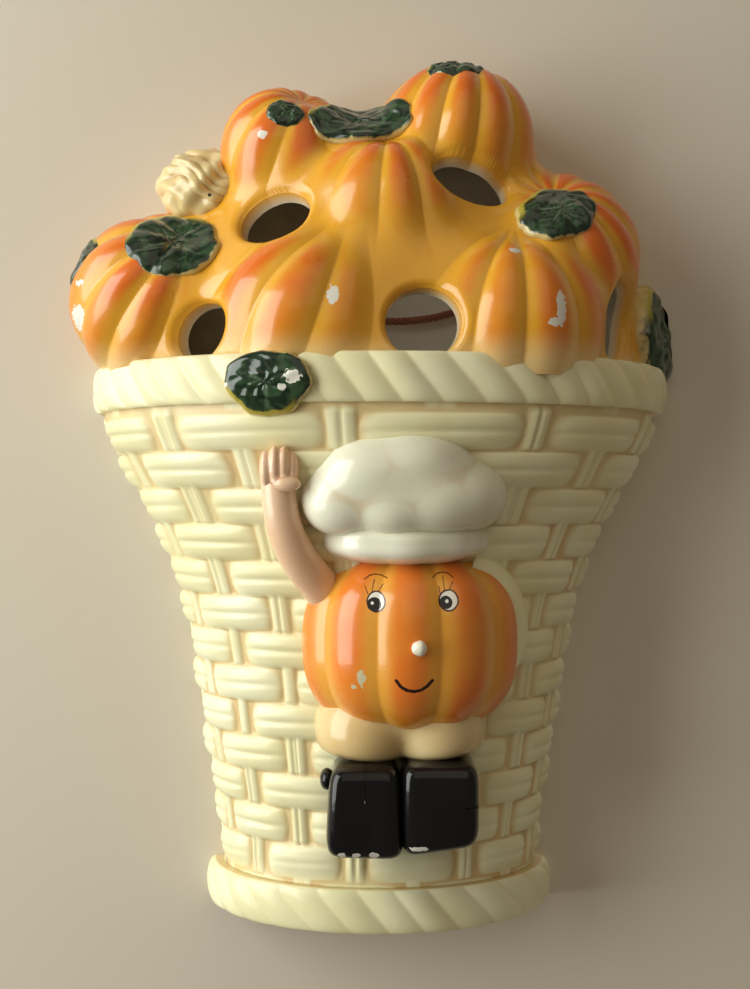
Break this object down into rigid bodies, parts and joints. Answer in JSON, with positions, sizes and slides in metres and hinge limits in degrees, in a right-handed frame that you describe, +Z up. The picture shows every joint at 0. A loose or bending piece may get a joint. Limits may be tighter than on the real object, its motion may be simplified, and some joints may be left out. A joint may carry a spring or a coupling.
{
  "type": "ceramic wall basket with pierced pumpkins",
  "caption": "Half-round glazed ceramic wall basket in a woven pattern, heaped with pierced pumpkins and leaves, with a smiling pumpkin cook in relief on the front and a hanging cord behind.",
  "frame": {"origin": "the middle of the back lip's lower edge, on the wall plane and level with the bottom of the foot", "axes": "+Z up, -Y out of the wall towards the viewer, +X to the viewer's right"},
  "size_m": [0.1765, 0.0645, 0.243],
  "materials": {
    "cream_glaze": "cream glaze with an ochre wash rubbed into the recesses",
    "orange_glaze": "glossy orange over yellow, airbrushed along the ribs, with small chips",
    "straw_glaze": "straw-coloured wash under clear glaze",
    "leaf_glaze": "dark green brushed on, yellow at the edges, clear glaze",
    "white_glaze": "off-white clear glaze",
    "skin_glaze": "pale flesh colour under clear glaze",
    "tan_glaze": "thin tan wash under clear glaze",
    "black_glaze": "black, high gloss",
    "bare_clay": "unglazed earthenware, matt",
    "brown_cord": "twisted brown cord, matt"
  },
  "bodies": {
    "root": {"back_plate": "bare_clay", "base_plate": "bare_clay", "basket_wall": "cream_glaze", "rope_rim": "cream_glaze", "rope_foot": "cream_glaze", "heap_dome": "orange_glaze", "heap_gaps": "orange_glaze", "pumpkin_left": "orange_glaze", "pumpkin_front_left": "orange_glaze", "pumpkin_front_right": "orange_glaze", "pumpkin_middle": "orange_glaze", "pumpkin_top_left": "orange_glaze", "pumpkin_top_right": "orange_glaze", "pumpkin_right": "orange_glaze", "straw_tuft": "straw_glaze", "leaf_left": "leaf_glaze", "leaf_left_edge": "leaf_glaze", "leaf_middle": "leaf_glaze", "leaf_small": "leaf_glaze", "leaf_top": "leaf_glaze", "leaf_right": "leaf_glaze", "leaf_right_edge": "leaf_glaze", "leaf_rim": "leaf_glaze", "chef_head": "orange_glaze", "chef_nose": "white_glaze", "hat_crown": "white_glaze", "hat_band": "white_glaze", "raised_arm": "skin_glaze", "bent_arm": "cream_glaze", "shorts": "tan_glaze", "boot_left": "black_glaze", "boot_right": "black_glaze", "boot_tab": "black_glaze", "hanging_cord": "brown_cord", "cord_knot_left": "brown_cord", "cord_knot_right": "brown_cord"}
  },
  "joints": []
}
